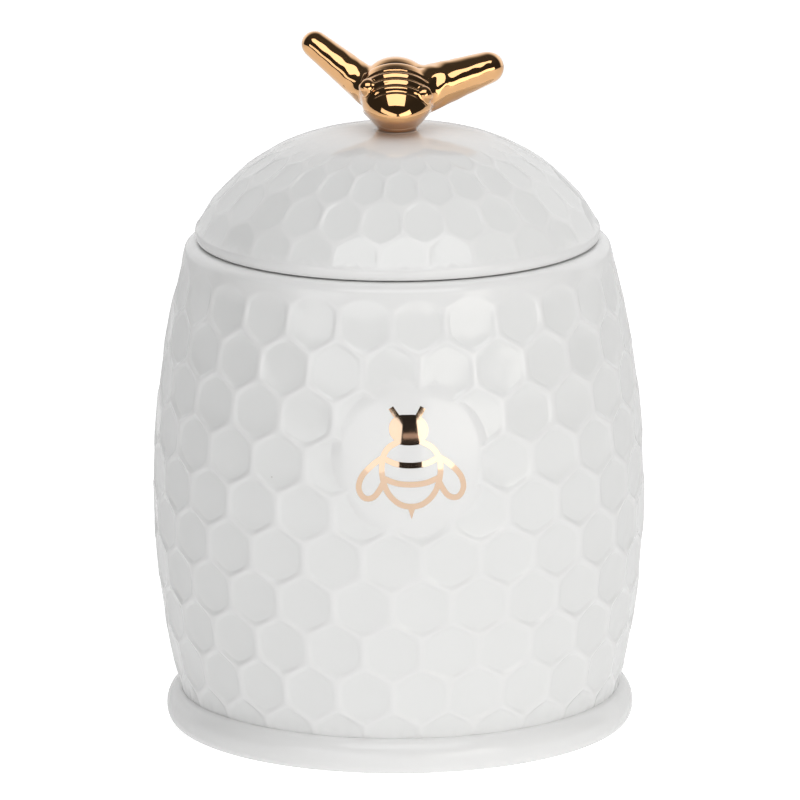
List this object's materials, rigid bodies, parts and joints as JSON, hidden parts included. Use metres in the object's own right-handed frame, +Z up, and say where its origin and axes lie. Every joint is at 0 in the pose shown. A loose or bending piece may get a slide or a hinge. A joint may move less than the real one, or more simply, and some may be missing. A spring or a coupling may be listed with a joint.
{
  "type": "honey pot",
  "caption": "Lidded honey pot of white glazed porcelain with a honeycomb relief, a gold bee on a round medallion, and a lift-off domed lid with a gilt bee knob.",
  "frame": {"origin": "centre of the foot's underside, on the surface that the pot stands on", "axes": "+Z up the pot's axis; the front with the bee medallion faces -Y; +X to the right seen from the front"},
  "size_m": [0.1048, 0.1057, 0.1475],
  "materials": {
    "porcelain": "glossy white glaze over cast porcelain, bare biscuit on the foot ring",
    "gold_print": "fired gold print on the glaze",
    "gold_lustre": "mirror bright rose gold lustre over glazed porcelain",
    "silicone": "translucent matt silicone"
  },
  "bodies": {
    "jar": {"jar_body": "porcelain", "bee_emblem": "gold_print"},
    "seal": {"lid_seal": "silicone"},
    "lid": {"lid_dome": "porcelain", "bee_body": "gold_lustre", "bee_left_wing": "gold_lustre", "bee_right_wing": "gold_lustre"}
  },
  "joints": [
    {"name": "lid_lift", "type": "slide", "parent": "jar", "child": "seal", "axis": [0, 0, 1], "range_m": [0, 0.08]},
    {"name": "lid_turn", "type": "hinge", "parent": "seal", "child": "lid", "pos_m": [0, 0, 0.1], "axis": [0, 0, 1], "continuous": true}
  ]
}
